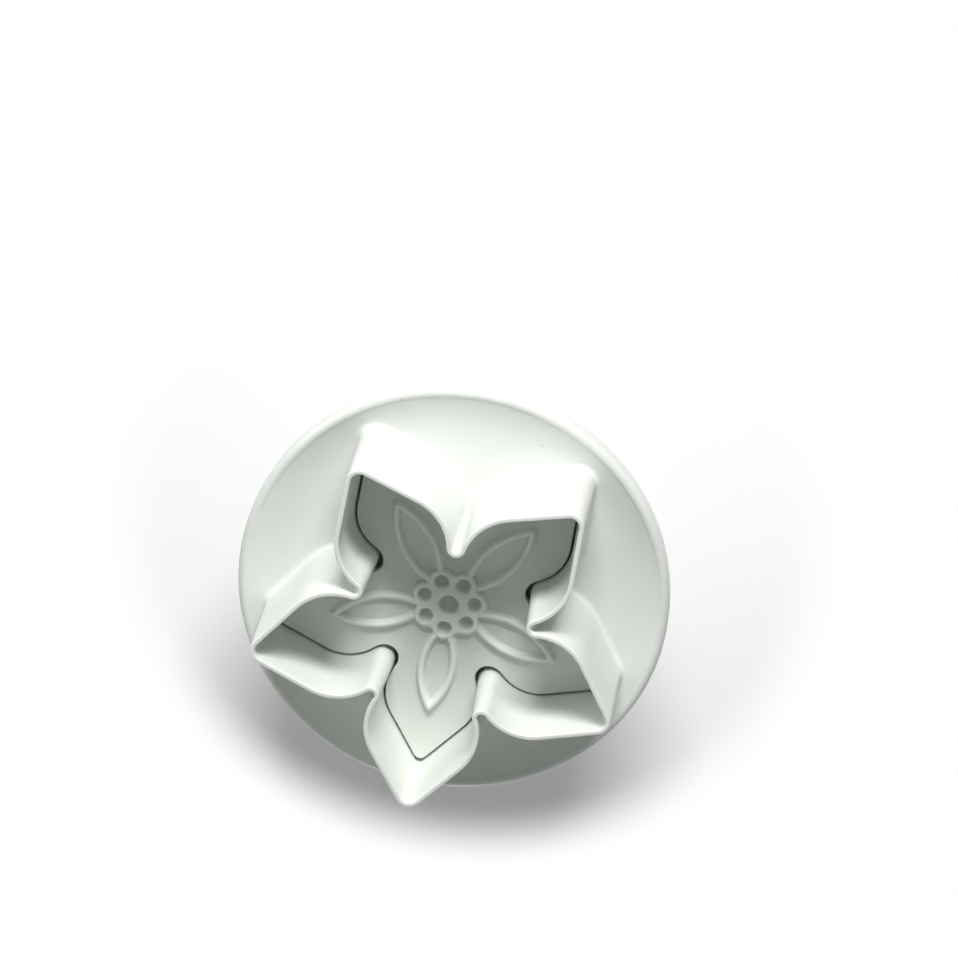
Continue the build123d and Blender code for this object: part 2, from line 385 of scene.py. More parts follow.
def rounded(corners):
    """A line through corners given as (place, radius), with a guard point beside each round."""
    line = [corners[0][0]]
    for index in range(1, len(corners) - 1):
        corner, radius = corners[index]
        before = (corners[index - 1][0] - corner).normalized()
        after = (corners[index + 1][0] - corner).normalized()
        half = acos(max(-1.0, min(1.0, before.dot(after)))) / 2
        run = radius / tan(half)
        middle = corner + (before + after).normalized() * radius / sin(half)
        line.append(corner + before * (run + GUARD))
        line += arc(middle, corner + before * run, corner + after * run, ROUND_STEPS)
        line.append(corner + after * run)
        line.append(corner + after * (run + GUARD))
    line.append(corners[-1][0])
    return line


def dish(radius):
    """How far the flange's face has risen at a radius."""
    return DISH_RISE * max(0, (radius - DISH_START) / (lip_start - DISH_START)) ** 2


def mesh_of_rings(name, rings, closed):
    """A skin over rings of points, joined end to end or closed by a point at each end."""
    work = bmesh.new()
    made = [[work.verts.new(point) for point in ring] for ring in rings]
    pairs = list(zip(made, made[1:]))
    if closed:
        pairs.append((made[-1], made[0]))
    for here, there in pairs:
        for index in range(max(len(here), len(there)) - 1):
            if len(here) == 1:
                corners = (here[0], there[index + 1], there[index])
            elif len(there) == 1:
                corners = (here[index], here[index + 1], there[0])
            else:
                corners = (here[index], here[index + 1], there[index + 1], there[index])
            work.faces.new(corners)
    mesh = bpy.data.meshes.new(name)
    work.to_mesh(mesh)
    work.free()
    return mesh


def outward(mesh):
    """Merges what lies double and turns every face outwards."""
    work = bmesh.new()
    work.from_mesh(mesh)
    bmesh.ops.remove_doubles(work, verts=work.verts, dist=MERGE_DISTANCE)
    bmesh.ops.recalc_face_normals(work, faces=work.faces)
    work.to_mesh(mesh)
    work.free()


def body_rings():
    """Every ring of one petal's share of the body, from the bore over the wall and back."""
    foot = petal_outline(-INNER_DRAFT - FOOT_ROUND, BODY_STEPS)
    outside = petal_outline(flare_end, BODY_STEPS)
    inner_angles = [atan2(point.y, point.x) for point in foot]
    outer_angles = [atan2(point.y, point.x) for point in outside]
    ring_top = flange_front + RING_HEIGHT
    ring_foot = Vector((RING_RADIUS + RING_ROUND + GUARD, flange_front))
    bore_line = [
        (Vector((BORE_RADIUS, pocket_floor)), 0),
        (Vector((BORE_RADIUS, ring_top)), RING_ROUND),
        (Vector((RING_RADIUS, ring_top)), RING_ROUND),
        (Vector((RING_RADIUS, flange_front)), RING_ROUND),
        (ring_foot + Vector((GUARD, 0)), 0),
    ]
    rings = [on_circle(inner_angles, point.x, point.y) for point in rounded(bore_line)[1:]]
    for step in range(1, FLOOR_RINGS):
        share = step / FLOOR_RINGS
        circle = [Vector((cos(angle), sin(angle))) * ring_foot.x for angle in inner_angles]
        between = [here.lerp(there, share) for here, there in zip(circle, foot)]
        rings.append(on_petal(between, flange_front))
    wall_line = [
        (Vector((-INNER_DRAFT - FOOT_ROUND, flange_front)), 0),
        (Vector((-INNER_DRAFT, flange_front)), INNER_FOOT_ROUND),
        (Vector((0, cutting_edge)), EDGE_ROUND),
        (Vector((EDGE_WALL, cutting_edge)), EDGE_ROUND),
        (Vector((outer_foot, flange_front)), FOOT_ROUND),
        (Vector((flare_end, flange_front)), 0),
    ]
    over = False
    for section in rounded(wall_line):
        over = over or section.x > EDGE_WALL / 2
        outline = petal_outline(section.x, BODY_STEPS)
        ring = on_petal(outline, section.y)
        if over:
            fade = max(0, 1 - (section.y - flange_front) / DISH_FADE)
            for point in ring:
                point.z += fade * dish(point.xy.length)
        rings.append(ring)
    for step in range(1, FLANGE_RINGS + 1):
        share = 1 - (1 - step / FLANGE_RINGS) ** RING_CROWDING
        ring = []
        for point in outside:
            radius = point.length + (lip_start - point.length) * share
            ring += on_petal([point.normalized() * radius], flange_front + dish(radius))
        rings.append(ring)
    lip_drop = sqrt(2 * LIP_WIDTH * LIP_ROUND - LIP_WIDTH**2)
    lip_end = Vector((flange_radius, flange_front + DISH_RISE - lip_drop))
    lip_middle = lip_end - Vector((LIP_ROUND, 0))
    lip_turn = atan2(lip_drop, lip_start - lip_middle.x)
    for step in range(1, LIP_STEPS + 1):
        angle = lip_turn * (1 - step / LIP_STEPS)
        point = lip_middle + Vector((cos(angle), sin(angle))) * LIP_ROUND
        rings.append(on_circle(outer_angles, point.x, point.y))
    skirt_end = flange_front - SKIRT_DEPTH
    skirt_inner = flange_radius - SKIRT_WALL
    back_line = [
        (lip_end, 0),
        (Vector((flange_radius, skirt_end)), SKIRT_ROUND),
        (Vector((skirt_inner, skirt_end)), SKIRT_ROUND),
        (Vector((skirt_inner, flange_back)), SKIRT_ROUND),
        (Vector((barrel_radius, flange_back)), BARREL_ROOT),
        (Vector((barrel_radius, barrel_end)), BARREL_ROUND),
        (Vector((POCKET_RADIUS, barrel_end)), BARREL_ROUND),
        (Vector((POCKET_RADIUS, pocket_floor)), RING_ROUND),
        (Vector((BORE_RADIUS, pocket_floor)), 0),
    ]
    rings += [on_circle(outer_angles, point.x, point.y) for point in rounded(back_line)[1:]]
    return rings


def new_tree(name, inputs):
    """An empty node tree for a modifier, with geometry in and out and named inputs."""
    tree = bpy.data.node_groups.new(name, "GeometryNodeTree")
    tree.interface.new_socket("geometry", in_out="INPUT", socket_type="NodeSocketGeometry")
    for label, kind in inputs.items():
        tree.interface.new_socket(label, in_out="INPUT", socket_type="NodeSocket" + kind)
    tree.interface.new_socket("geometry", in_out="OUTPUT", socket_type="NodeSocketGeometry")
    return tree, add_node(tree, "NodeGroupInput").outputs


def end_tree(tree, geometry, material):
    """The last nodes of every tree: real faces, smooth, in their material."""
    real = add_node(tree, "GeometryNodeRealizeInstances", {"Geometry": geometry})
    smooth = add_node(tree, "GeometryNodeSetShadeSmooth", {"Geometry": real.outputs[0]})
    dressed = add_node(
        tree, "GeometryNodeSetMaterial", {"Geometry": smooth.outputs[0], "Material": material}
    )
    add_node(tree, "NodeGroupOutput", {"geometry": dressed.outputs[0]})


def grown(name, mesh, tree, values):
    """A new piece: the tree run on a mesh, and kept as a plain mesh without the modifier."""
    piece = bpy.data.objects.new(name, mesh)
    scene.collection.objects.link(piece)
    modifier = piece.modifiers.new(tree.name, "NODES")
    modifier.node_group = tree
    for item in tree.interface.items_tree:
        if item.in_out == "INPUT" and item.name in values:
            modifier[item.identifier] = values[item.name]
    depsgraph = bpy.context.evaluated_depsgraph_get()
    evaluated = piece.evaluated_get(depsgraph)
    result = bpy.data.meshes.new_from_object(evaluated, depsgraph=depsgraph)
    piece.modifiers.clear()
    piece.data = result
    result.name = name
    return piece


def calculate(tree, operation, *values):
    """The result of one Math node."""
    made = add_node(tree, "ShaderNodeMath", dict(enumerate(values)), operation=operation)
    return made.outputs[0]


def whole_flower_tree():
    """Turns one petal's share of a piece about the axis, once for each petal."""
    tree, given = new_tree(
        "whole_flower", {"petals": "Int", "merge distance": "Float", "finish": "Material"}
    )
    places = add_node(tree, "GeometryNodePoints", {"Count": given["petals"]})
    index = add_node(tree, "GeometryNodeInputIndex")
    step = calculate(tree, "DIVIDE", 2 * pi, given["petals"])
    angle = calculate(tree, "MULTIPLY", index.outputs[0], step)
    turn = add_node(tree, "ShaderNodeCombineXYZ", {"Z": angle})
    copies = add_node(
        tree,
        "GeometryNodeInstanceOnPoints",
        {"Points": places.outputs[0], "Instance": given["geometry"], "Rotation": turn.outputs[0]},
    )
    real = add_node(tree, "GeometryNodeRealizeInstances", {"Geometry": copies.outputs[0]})
    merged = add_node(
        tree,
        "GeometryNodeMergeByDistance",
        {"Geometry": real.outputs[0], "Distance": given["merge distance"]},
    )
    end_tree(tree, merged.outputs[0], given["finish"])
    return tree


COLOUR_INPUTS = (6, 7)
COLOUR_OUTPUT = 2


def mix_colour(tree, share, first, second):
    """A blend of two colours, given or linked, from the Mix node's colour sockets."""
    ends = {COLOUR_INPUTS[0]: first, COLOUR_INPUTS[1]: second}
    mix = add_node(tree, "ShaderNodeMix", {0: share, **ends}, data_type="RGBA")
    return mix.outputs[COLOUR_OUTPUT]


def mix_value(tree, share, first, second):
    """A blend of two numbers, given or linked."""
    ends = {"Value": share, "To Min": first, "To Max": second}
    return add_node(tree, "ShaderNodeMapRange", ends).outputs[0]


def ramp(tree, value, start, end):
    """A share that grows evenly from 0 where a value is at start to 1 where it is at end."""
    ends = {"Value": value, "From Min": start, "From Max": end}
    return add_node(tree, "ShaderNodeMapRange", ends).outputs[0]


PLASTIC_WHITE = (0.80, 0.825, 0.79, 1.0)
PLASTIC_SHADE = (0.765, 0.79, 0.752, 1.0)
PLASTIC_SPECK = (0.34, 0.36, 0.33, 1.0)
PLASTIC_ROUGH = (0.34, 0.46)
PLASTIC_IOR = 1.49
PLASTIC_SPECULAR = 0.45
CLOUD_SCALE = 55.0
CLOUD_DETAIL = 4.0
CLOUD_TONE = (0.35, 0.65)
CLOUD_GLOSS = (0.3, 0.7)
GRAIN_SCALE = 2600.0
GRAIN_DETAIL = 3.0
SPECK_SCALE = 210.0
SPECK_SIZE = 0.06
SPECK_RARITY = 0.8
SPECK_DEPTH = 0.7
BUMP_DISTANCE = 0.02 * MM
BUMP_STRENGTH = 0.22


def moulded_plastic(name, pattern_shift, rough=PLASTIC_ROUGH, wear_and_painted_shade=None):
    """Satin white moulded plastic: a faint cloudy shade, fine grain and a few dark specks."""
    material = bpy.data.materials.new(name)
    material.use_nodes = True
    tree = material.node_tree
    tree.nodes.clear()
    where = add_node(tree, "ShaderNodeTexCoord").outputs["Object"]
    place = add_node(
        tree, "ShaderNodeMapping", {"Vector": where, "Location": pattern_shift}
    ).outputs[0]
    cloud = add_node(
        tree,
        "ShaderNodeTexNoise",
        {"Vector": place, "Scale": CLOUD_SCALE, "Detail": CLOUD_DETAIL},
    ).outputs["Fac"]
    grain = add_node(
        tree,
        "ShaderNodeTexNoise",
        {"Vector": place, "Scale": GRAIN_SCALE, "Detail": GRAIN_DETAIL},
    ).outputs["Fac"]
    cells = add_node(tree, "ShaderNodeTexVoronoi", {"Vector": place, "Scale": SPECK_SCALE})
    chosen = add_node(tree, "ShaderNodeSeparateColor", {"Color": cells.outputs["Color"]})
    rare = calculate(tree, "GREATER_THAN", chosen.outputs[0], SPECK_RARITY)
    near = ramp(tree, cells.outputs["Distance"], SPECK_SIZE, 0.0)
    faint = calculate(tree, "MULTIPLY", near, SPECK_DEPTH)
    speck = calculate(tree, "MULTIPLY", rare, faint)
    shade = mix_colour(tree, ramp(tree, cloud, *CLOUD_TONE), PLASTIC_SHADE, PLASTIC_WHITE)
    roughness = mix_value(tree, ramp(tree, cloud, *CLOUD_GLOSS), *rough)
    # Here the plate's painted shade and highlight, and the body's edge wear, go into the colour.
    if wear_and_painted_shade:
        shade, roughness = wear_and_painted_shade(tree, shade, roughness)
    colour = mix_colour(tree, speck, shade, PLASTIC_SPECK)
    bump = add_node(
        tree,
        "ShaderNodeBump",
        {"Height": grain, "Strength": BUMP_STRENGTH, "Distance": BUMP_DISTANCE},
    )
    shader = add_node(
        tree,
        "ShaderNodeBsdfPrincipled",
        {"Base Color": colour, "Roughness": roughness, "Normal": bump.outputs[0]},
    )
    shader.inputs["IOR"].default_value = PLASTIC_IOR
    shader.inputs["Specular IOR Level"].default_value = PLASTIC_SPECULAR
    add_node(tree, "ShaderNodeOutputMaterial", {"Surface": shader.outputs[0]})
    return material


EDGE_PALE = (0.86, 0.88, 0.85, 1.0)
RUB_DEPTH = 3 * EDGE_ROUND
RUBBED_ROUGH = 0.18
BODY_PATTERN_SHIFT = (0.0, 0.0, 0.0)


def rubbed_edge(tree, shade, roughness):
    """The cutting edge, rubbed pale by the board, and the lip, smooth from handling."""
    where = add_node(tree, "ShaderNodeTexCoord").outputs["Object"]
    height = add_node(tree, "ShaderNodeSeparateXYZ", {0: where}).outputs["Z"]
    rub = ramp(tree, height, cutting_edge - RUB_DEPTH, cutting_edge)
    pale = mix_colour(tree, rub, shade, EDGE_PALE)
    level = add_node(
        tree, "ShaderNodeVectorMath", {0: where, 1: (1, 1, 0)}, operation="MULTIPLY"
    )
    radius = add_node(tree, "ShaderNodeVectorMath", {0: level.outputs[0]}, operation="LENGTH")
    handled = ramp(tree, radius.outputs["Value"], lip_start, flange_radius)
    smooth = calculate(tree, "MAXIMUM", rub, handled)
    return pale, mix_value(tree, smooth, roughness, RUBBED_ROUGH)


whole_flower = whole_flower_tree()
body_plastic = moulded_plastic("body_plastic", BODY_PATTERN_SHIFT, wear_and_painted_shade=rubbed_edge)
body_share = mesh_of_rings("body_share", body_rings(), closed=True)
cutter_body = grown(
    "moulded_body",
    body_share,
    whole_flower,
    {"petals": PETALS, "merge distance": MERGE_DISTANCE, "finish": body_plastic},
)
outward(cutter_body.data)
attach(cutter_body, "housing")
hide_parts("cutter_body")

# Embossing plate. A white flower-shaped moulding with rounded veins raised on its face and
# ribs behind, glued on the plunger's head, which slides in the mouth and marks the paste.
PLATE_GAP = 0.3 * MM
PLATE_TIP_ROUND = 1.2 * MM
NOTCH_RELIEF = 0.6 * MM
PLATE_EDGE_ROUND = 0.18 * MM

# The veins: five pointed ovals and a scalloped cluster of cells round a hollow centre.
VEIN_HEIGHT = 1.0 * MM
VEIN_HALF = 0.72 * MM
VEIN_FULLNESS = 2.5
VEIN_BLEND = 0.2 * MM
OVAL_MIDDLE = 11.2 * MM
OVAL_HALF_LENGTH = 7.45 * MM
OVAL_HALF_WIDTH = 2.5 * MM
CELLS = 7
CELL_CIRCLE = 4.1 * MM
CELL_HOLE = 0.88 * MM
CELL_INNER_SIDE = 3.3 * MM
CELL_CORNER = 0.5 * MM
CELL_RIM = 2.3 * MM
CLUSTER_DISC = 5.4 * MM
CENTRE_HOLE = 1.32 * MM

# The socket for the stem's pin, and the ribs.
PIN_RADIUS = 1.52 * MM
PIN_LENGTH = 0.82 * MM
RIB_WIDTH = 1.2 * MM
RIB_DEPTH = 1.2 * MM
RIB_START = 6.2 * MM
RIB_END = 21.0 * MM
RIB_BEVEL = 0.2 * MM
RIB_BEVEL_STEPS = 2

# The rings of the plate's face, close together where the veins are raised.
CLUSTER_REACH = 6.6 * MM
CORE_RADIUS = 11.6 * MM
CLUSTER_RINGS = 46
CORE_RINGS = 20
VEIN_RINGS = 49
VEIN_REACH = 0.5
OUTER_RINGS = 16
PLATE_STEPS = (9, 20, 26, 6)
PLATE_PATTERN_SHIFT = (0.3, 0.1, 0.0)

plate_low, plate_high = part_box("embossing_plate")
plate_top = plate_high.z - VEIN_HEIGHT
plate_under = plate_low.z + RIB_DEPTH
plate_grow = -INNER_DRAFT * (cutting_edge - plate_under) / WALL_HEIGHT - PLATE_GAP


def even_angles(outline):
    """Angles for a circle's points, spread as the outline's points are along its length."""
    runs = [0.0]
    for here, there in zip(outline, outline[1:]):
        runs.append(runs[-1] + (there - here).length)
    return [petal_angle * (1 / 2 - run / runs[-1]) for run in runs]


def plate_rings():
    """Every ring of one petal's share of the plate, from the face's middle to the socket."""
    tip_round = PLATE_TIP_ROUND - plate_grow
    edge_line = [
        (Vector((-PLATE_EDGE_ROUND - 2 * GUARD, plate_top)), 0),
        (Vector((0, plate_top)), PLATE_EDGE_ROUND),
        (Vector((0, plate_under)), PLATE_EDGE_ROUND),
        (Vector((-PLATE_EDGE_ROUND - 2 * GUARD, plate_under)), 0),
    ]
    section = rounded(edge_line)[1:-1]
    outlines = [
        petal_outline(plate_grow + place.x, PLATE_STEPS, tip_round, NOTCH_RELIEF)
        for place in section
    ]
    even = even_angles(outlines[0])
    angles = [atan2(point.y, point.x) for point in outlines[0]]
    rings = [[Vector((0, 0, plate_top))]]
    for step in range(1, CLUSTER_RINGS + 1):
        rings.append(on_circle(even, CLUSTER_REACH * step / CLUSTER_RINGS, plate_top))
    for step in range(1, CORE_RINGS + 1):
        share = step / CORE_RINGS
        radius = CLUSTER_REACH + (CORE_RADIUS - CLUSTER_REACH) * share
        between = [first + (second - first) * share for first, second in zip(even, angles)]
        rings.append(on_circle(between, radius, plate_top))
    core = [Vector((cos(angle), sin(angle))) * CORE_RADIUS for angle in angles]
    shares = [VEIN_REACH * step / VEIN_RINGS for step in range(1, VEIN_RINGS)]
    shares += [VEIN_REACH + (1 - VEIN_REACH) * step / OUTER_RINGS for step in range(OUTER_RINGS)]
    for share in shares:
        between = [here.lerp(there, share) for here, there in zip(core, outlines[0])]
        rings.append(on_petal(between, plate_top))
    rings += [on_petal(outline, place.y) for outline, place in zip(outlines, section)]
    rings.append(on_circle(angles, CORE_RADIUS, plate_under))
    rings.append(on_circle(angles, PIN_RADIUS, plate_under))
    rings.append(on_circle(angles, PIN_RADIUS, plate_under + PIN_LENGTH))
    rings.append([Vector((0, 0, plate_under + PIN_LENGTH))])
    return rings


def add_rib(mesh):
    """One stiffening rib behind the plate, along the petal, with its edges eased."""
    work = bmesh.new()
    work.from_mesh(mesh)
    size = (RIB_WIDTH, RIB_END - RIB_START, RIB_DEPTH + RIB_BEVEL)
    middle = (0, (RIB_END + RIB_START) / 2, plate_under - RIB_DEPTH / 2 + RIB_BEVEL / 2)
    made = bmesh.ops.create_cube(work, matrix=Matrix.LocRotScale(middle, None, size))
    edges = list({edge for corner in made["verts"] for edge in corner.link_edges})
    bmesh.ops.bevel(
        work, geom=edges, offset=RIB_BEVEL, segments=RIB_BEVEL_STEPS, affect="EDGES"
    )
    work.to_mesh(mesh)
    work.free()


def length_of(tree, x, y):
    """How far a point on the plate is from the place that x and y are counted from."""
    squares = calculate(tree, "MULTIPLY_ADD", x, x, calculate(tree, "MULTIPLY", y, y))
    return calculate(tree, "SQRT", squares)


def folded(tree, angle, radius, count):
    """The point's place along and across the nearest of count like rays."""
    step = calculate(tree, "DIVIDE", 2 * pi, count)
    nearest = calculate(tree, "ROUND", calculate(tree, "DIVIDE", angle, step))
    turned = calculate(tree, "SUBTRACT", angle, calculate(tree, "MULTIPLY", nearest, step))
    along = calculate(tree, "MULTIPLY", radius, calculate(tree, "COSINE", turned))
    across = calculate(tree, "MULTIPLY", radius, calculate(tree, "SINE", turned))
    return along, across


def oval_depth(tree, along, across, given):
    """How deep a point lies inside the ridge that runs round a pointed oval."""
    long, wide = given["oval half length"], given["oval half width"]
    from_middle = calculate(tree, "SUBTRACT", along, given["oval middle"])
    lengthwise = calculate(tree, "ABSOLUTE", from_middle)
    sideways = calculate(tree, "ABSOLUTE", across)
    squares = calculate(tree, "MULTIPLY_ADD", long, long, calculate(tree, "MULTIPLY", wide, wide))
    bend = calculate(tree, "DIVIDE", squares, calculate(tree, "MULTIPLY", wide, 2.0))
    centre_back = calculate(tree, "SUBTRACT", bend, wide)
    from_centre = length_of(tree, lengthwise, calculate(tree, "ADD", sideways, centre_back))
    beside = calculate(tree, "ABSOLUTE", calculate(tree, "SUBTRACT", from_centre, bend))
    past = calculate(tree, "SUBTRACT", lengthwise, long)
    point = length_of(tree, past, sideways)
    past_the_end = calculate(tree, "MULTIPLY", past, centre_back)
    inside_the_end = calculate(tree, "MULTIPLY", sideways, long)
    beyond = calculate(tree, "GREATER_THAN", past_the_end, inside_the_end)
    nearest = add_node(
        tree,
        "GeometryNodeSwitch",
        {"Switch": beyond, "False": beside, "True": point},
        input_type="FLOAT",
    )
    return calculate(tree, "SUBTRACT", given["vein half width"], nearest.outputs[0])


def raised_veins_tree():
    """Raises five ovals and the scalloped cluster of cells out of the plate's face."""
    sizes = [
        "plate top", "vein height", "vein half width", "vein fullness", "vein blend",
        "oval middle", "oval half length", "oval half width", "petals", "cells", "cell circle",
        "cell hole", "cell inner side", "cell corner", "cell rim", "cluster disc", "centre hole",
    ]
    inputs = {label: "Float" for label in sizes}
    tree, given = new_tree("raised_veins", {**inputs, "finish": "Material"})
    position = add_node(tree, "GeometryNodeInputPosition").outputs[0]
    parts = add_node(tree, "ShaderNodeSeparateXYZ", {0: position}).outputs
    radius = length_of(tree, parts["X"], parts["Y"])
    angle = calculate(tree, "ARCTAN2", parts["X"], parts["Y"])
    cell_along, cell_across = folded(tree, angle, radius, given["cells"])
    off_cell = calculate(tree, "SUBTRACT", cell_along, given["cell circle"])
    cell_distance = length_of(tree, off_cell, cell_across)
    scallop = calculate(tree, "SUBTRACT", given["cell rim"], cell_distance)
    disc = calculate(tree, "SUBTRACT", given["cluster disc"], radius)
    within = calculate(tree, "SMOOTH_MAX", scallop, disc, given["vein blend"])
    from_round = calculate(tree, "SUBTRACT", cell_distance, given["cell hole"])
    from_inner_side = calculate(tree, "SUBTRACT", given["cell inner side"], radius)
    from_cell = calculate(tree, "SMOOTH_MAX", from_round, from_inner_side, given["cell corner"])
    from_centre = calculate(tree, "SUBTRACT", radius, given["centre hole"])
    holes = calculate(tree, "MINIMUM", from_cell, from_centre)
    cluster = calculate(tree, "MINIMUM", within, holes)
    petal_along, petal_across = folded(tree, angle, radius, given["petals"])
    oval = oval_depth(tree, petal_along, petal_across, given)
    room_left = calculate(tree, "SUBTRACT", given["vein half width"], within)
    oval_end = calculate(tree, "MINIMUM", oval, room_left)
    depth = calculate(tree, "SMOOTH_MAX", cluster, oval_end, given["vein blend"])
    slope = add_node(
        tree,
        "ShaderNodeMapRange",
        {"Value": depth, "From Max": given["vein half width"], "To Min": 1.0, "To Max": 0.0},
    ).outputs[0]
    hollow = calculate(tree, "POWER", slope, given["vein fullness"])
    half_round = calculate(tree, "SUBTRACT", 1.0, hollow)
    height = calculate(tree, "MULTIPLY", half_round, given["vein height"])
    in_cluster = calculate(tree, "GREATER_THAN", within, 0.0)
    face = calculate(tree, "SUBTRACT", given["plate top"], GUARD)
    on_face = calculate(tree, "GREATER_THAN", parts["Z"], face)
    lift = add_node(tree, "ShaderNodeCombineXYZ", {"Z": height})
    marked = given["geometry"]
    # The vein height and the cluster are kept to place the plate's painted shade and highlight.
    for label, value in (("vein", half_round), ("cluster", in_cluster)):
        share = calculate(tree, "MULTIPLY", value, on_face)
        marked = add_node(
            tree,
            "GeometryNodeStoreNamedAttribute",
            {"Geometry": marked, "Name": label, "Value": share},
            domain="POINT",
        ).outputs[0]
    raised = add_node(
        tree,
        "GeometryNodeSetPosition",
        {"Geometry": marked, "Selection": on_face, "Offset": lift.outputs[0]},
    )
    end_tree(tree, raised.outputs[0], given["finish"])
    return tree


# Painted shade darkens the plate's face and, most, its cells; a painted highlight makes the veins
# pale.
FACE_PAINTED_SHADE = (0.63, 0.655, 0.62, 1.0)
CELL_PAINTED_SHADE = (0.55, 0.57, 0.545, 1.0)
VEIN_PAINTED_LIGHT = (0.87, 0.89, 0.86, 1.0)
FACE_SHADE_SHARE = 0.35


def painted_shade_between_veins(tree, shade, roughness):
    """Painted shade between the veins, darkest in the cells, a painted highlight on the veins,
    and smoother veins.
    """
    vein = add_node(tree, "ShaderNodeAttribute", attribute_name="vein").outputs["Fac"]
    cluster = add_node(tree, "ShaderNodeAttribute", attribute_name="cluster").outputs["Fac"]
    face = mix_colour(tree, FACE_SHADE_SHARE, shade, FACE_PAINTED_SHADE)
    between = mix_colour(tree, cluster, face, CELL_PAINTED_SHADE)
    pale = mix_colour(tree, vein, between, VEIN_PAINTED_LIGHT)
    return pale, mix_value(tree, vein, roughness, RUBBED_ROUGH)


# The plate's plastic has painted shade between the veins and a painted highlight on them.
plate_plastic = moulded_plastic("plate_plastic", PLATE_PATTERN_SHIFT, wear_and_painted_shade=painted_shade_between_veins)
plate_share = mesh_of_rings("plate_share", plate_rings(), closed=False)
add_rib(plate_share)
plate_blank = grown(
    "plate_blank",
    plate_share,
    whole_flower,
    {"petals": PETALS, "merge distance": MERGE_DISTANCE, "finish": plate_plastic},
)
outward(plate_blank.data)
plate_mesh = plate_blank.data
bpy.data.objects.remove(plate_blank)
vein_sizes = {
    "plate top": plate_top,
    "vein height": VEIN_HEIGHT,
    "vein half width": VEIN_HALF,
    "vein fullness": VEIN_FULLNESS,
    "vein blend": VEIN_BLEND,
    "oval middle": OVAL_MIDDLE,
    "oval half length": OVAL_HALF_LENGTH,
    "oval half width": OVAL_HALF_WIDTH,
    "petals": float(PETALS),
    "cells": float(CELLS),
    "cell circle": CELL_CIRCLE,
    "cell hole": CELL_HOLE,
    "cell inner side": CELL_INNER_SIDE,
    "cell corner": CELL_CORNER,
    "cell rim": CELL_RIM,
    "cluster disc": CLUSTER_DISC,
    "centre hole": CENTRE_HOLE,
    "finish": plate_plastic,
}
plate = grown("veined_plate", plate_mesh, raised_veins_tree(), vein_sizes)
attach(plate, "plunger")
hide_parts("embossing_plate")

# Stem. A stiff white rod with a flat head and a short pin that centres the plate, glued
# into the knob at its other end.
STEM_RADIUS = 2.5 * MM
STEM_CHAMFER = 0.4 * MM
HEAD_THICKNESS = 1.1 * MM
STEM_PIN_RADIUS = 1.5 * MM
HEAD_ROUND = 0.15 * MM
TURNED_STEPS = 96
STEM_ROUGH = (0.3, 0.4)
STEM_PATTERN_SHIFT = (0.5, 0.2, 0.0)

stem_low, stem_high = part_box("plunger_stem")
head_under = plate_under - HEAD_THICKNESS
head_radius = stem_high.x


def turned_piece(name, corners, material):
    """A piece turned about the axis, from corners given as (place, radius) that end on it."""
    line = rounded(corners)
    angles = [2 * pi * step / TURNED_STEPS for step in range(TURNED_STEPS + 1)]
    rings = [[Vector((0, 0, line[0].y))]]
    rings += [on_circle(angles, point.x, point.y) for point in line[1:-1]]
    rings.append([Vector((0, 0, line[-1].y))])
    mesh = mesh_of_rings(name, rings, closed=False)
    outward(mesh)
    mesh.shade_smooth()
    mesh.materials.append(material)
    piece = bpy.data.objects.new(name, mesh)
    scene.collection.objects.link(piece)
    return piece


stem_plastic = moulded_plastic("stem_plastic", STEM_PATTERN_SHIFT, rough=STEM_ROUGH)
stem = turned_piece(
    "stem_rod",
    [
        (Vector((0, stem_low.z)), 0),
        (Vector((STEM_RADIUS, stem_low.z)), STEM_CHAMFER),
        (Vector((STEM_RADIUS, head_under)), HEAD_ROUND),
        (Vector((head_radius, head_under)), HEAD_ROUND),
        (Vector((head_radius, plate_under)), HEAD_ROUND),
        (Vector((STEM_PIN_RADIUS, plate_under)), HEAD_ROUND),
        (Vector((STEM_PIN_RADIUS, stem_high.z)), HEAD_ROUND),
        (Vector((0, stem_high.z)), 0),
    ],
    stem_plastic,
)
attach(stem, "plunger")
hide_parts("plunger_stem")

# Push knob. A white moulded disc with rounded rims and a shallow thumb dish, which the
# cutter stands on, and a hub that takes the stem and carries the spring.
KNOB_THICKNESS = 3.2 * MM
KNOB_TOP_ROUND = 1.1 * MM
KNOB_UNDER_ROUND = 0.5 * MM
KNOB_SKIN = 1.3 * MM
THUMB_DISH_RADIUS = 5.6 * MM
THUMB_DISH_DEPTH = 0.5 * MM
THUMB_DISH_ROUND = 0.3 * MM
THUMB_DISH_RINGS = 8
HUB_RADIUS = 4.3 * MM
HUB_ROUND = 0.3 * MM
SOCKET_RADIUS = 2.52 * MM
KNOB_ROUGH = (0.34, 0.48)
KNOB_PATTERN_SHIFT = (0.7, 0.4, 0.0)

knob_low, knob_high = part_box("push_knob")
knob_radius = knob_high.x
knob_top = knob_low.z
knob_under = knob_top + KNOB_THICKNESS


def thumb_dish():
    """The dish's line from the axis to its rim, part of a large ball."""
    ball = (THUMB_DISH_RADIUS**2 + THUMB_DISH_DEPTH**2) / (2 * THUMB_DISH_DEPTH)
    reach = asin(THUMB_DISH_RADIUS / ball)
    line = [(Vector((0, knob_top + THUMB_DISH_DEPTH)), 0)]
    for step in range(1, THUMB_DISH_RINGS):
        angle = reach * step / THUMB_DISH_RINGS
        height = knob_top + THUMB_DISH_DEPTH - ball * (1 - cos(angle))
        line.append((Vector((ball * sin(angle), height)), GUARD))
    return line


